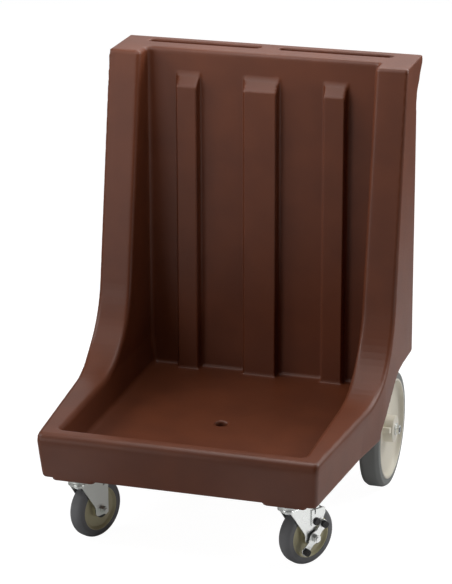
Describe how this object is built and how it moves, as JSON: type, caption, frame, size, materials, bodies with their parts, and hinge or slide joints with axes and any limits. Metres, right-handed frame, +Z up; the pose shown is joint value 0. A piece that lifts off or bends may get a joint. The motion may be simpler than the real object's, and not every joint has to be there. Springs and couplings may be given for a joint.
{
  "type": "glass rack dolly",
  "caption": "Moulded plastic dolly with a lipped tray and a high winged, ribbed backrest for stacked glass racks, on large rear wheels and swivel casters, one braked.",
  "frame": {"origin": "on the ground, under the middle of the outer box", "axes": "+Z up, the open front with the tray lip faces -Y, +X to the dolly's right side as seen from the front"},
  "size_m": [0.6806, 0.718, 0.912],
  "materials": {
    "body_plastic": "satin rotationally moulded polyethylene",
    "zinc_steel": "bright zinc plate",
    "plain_steel": "turned steel",
    "insert_brass": "turned brass",
    "rear_hub_plastic": "ivory moulded polypropylene",
    "caster_hub_plastic": "khaki moulded polypropylene",
    "rear_rubber": "light grey moulded rubber",
    "caster_rubber": "dark grey moulded rubber",
    "bearing_plastic": "natural nylon",
    "black_plastic": "black moulded plastic",
    "black_rubber": "black moulded rubber"
  },
  "bodies": {
    "chassis": {"body_shell": "body_plastic", "vent_plug": "body_plastic", "caster_inserts": "insert_brass", "bracket_inserts": "insert_brass", "left_axle_bracket": "zinc_steel", "right_axle_bracket": "zinc_steel", "bracket_bolts": "zinc_steel", "rear_axle": "plain_steel", "axle_spacers": "zinc_steel", "axle_washers": "zinc_steel", "axle_nuts": "zinc_steel", "left_caster_plate": "zinc_steel", "right_caster_plate": "zinc_steel", "caster_bolts": "zinc_steel", "left_kingpin": "plain_steel", "right_kingpin": "plain_steel", "left_lower_race": "zinc_steel", "right_lower_race": "zinc_steel"},
    "left_swivel": {"left_fork": "zinc_steel", "left_upper_balls": "plain_steel", "left_lower_balls": "plain_steel", "left_wheel_bolt": "zinc_steel", "left_wheel_nut": "zinc_steel", "left_wheel_sleeve": "plain_steel", "left_thread_guards": "black_plastic"},
    "right_swivel": {"right_fork": "zinc_steel", "right_upper_balls": "plain_steel", "right_lower_balls": "plain_steel", "right_wheel_bolt": "zinc_steel", "right_wheel_nut": "zinc_steel", "right_wheel_sleeve": "plain_steel", "right_thread_guards": "black_plastic", "brake_plate": "zinc_steel", "brake_stop": "black_rubber"},
    "left_front_wheel": {"left_front_hub": "caster_hub_plastic", "left_front_tyre": "caster_rubber", "left_front_bush": "bearing_plastic"},
    "right_front_wheel": {"right_front_hub": "caster_hub_plastic", "right_front_tyre": "caster_rubber", "right_front_bush": "bearing_plastic"},
    "left_rear_wheel": {"left_rear_hub": "rear_hub_plastic", "left_rear_tyre": "rear_rubber", "left_rear_bushes": "bearing_plastic"},
    "right_rear_wheel": {"right_rear_hub": "rear_hub_plastic", "right_rear_tyre": "rear_rubber", "right_rear_bushes": "bearing_plastic"},
    "brake": {"brake_rocker": "zinc_steel", "brake_pads": "black_rubber", "brake_cam": "black_plastic"}
  },
  "joints": [
    {"name": "left_caster_swivel", "type": "hinge", "parent": "chassis", "child": "left_swivel", "pos_m": [-0.223, -0.308, 0.14], "axis": [0, 0, 1], "continuous": true},
    {"name": "right_caster_swivel", "type": "hinge", "parent": "chassis", "child": "right_swivel", "pos_m": [0.223, -0.308, 0.14], "axis": [0, 0, 1], "continuous": true},
    {"name": "left_front_spin", "type": "hinge", "parent": "left_swivel", "child": "left_front_wheel", "pos_m": [-0.20398, -0.26722, 0.0635], "axis": [0.9063, -0.4226, 0], "continuous": true},
    {"name": "right_front_spin", "type": "hinge", "parent": "right_swivel", "child": "right_front_wheel", "pos_m": [0.24816, -0.27069, 0.0635], "axis": [0.829, -0.5592, 0], "continuous": true},
    {"name": "left_rear_spin", "type": "hinge", "parent": "chassis", "child": "left_rear_wheel", "pos_m": [-0.3, 0.169, 0.127], "axis": [1, 0, 0], "continuous": true},
    {"name": "right_rear_spin", "type": "hinge", "parent": "chassis", "child": "right_rear_wheel", "pos_m": [0.3, 0.169, 0.127], "axis": [1, 0, 0], "continuous": true},
    {"name": "brake_rock", "type": "hinge", "parent": "right_swivel", "child": "brake", "pos_m": [0.24816, -0.27069, 0.0635], "axis": [-0.829, 0.5592, 0], "range_deg": [0, 22]}
  ]
}
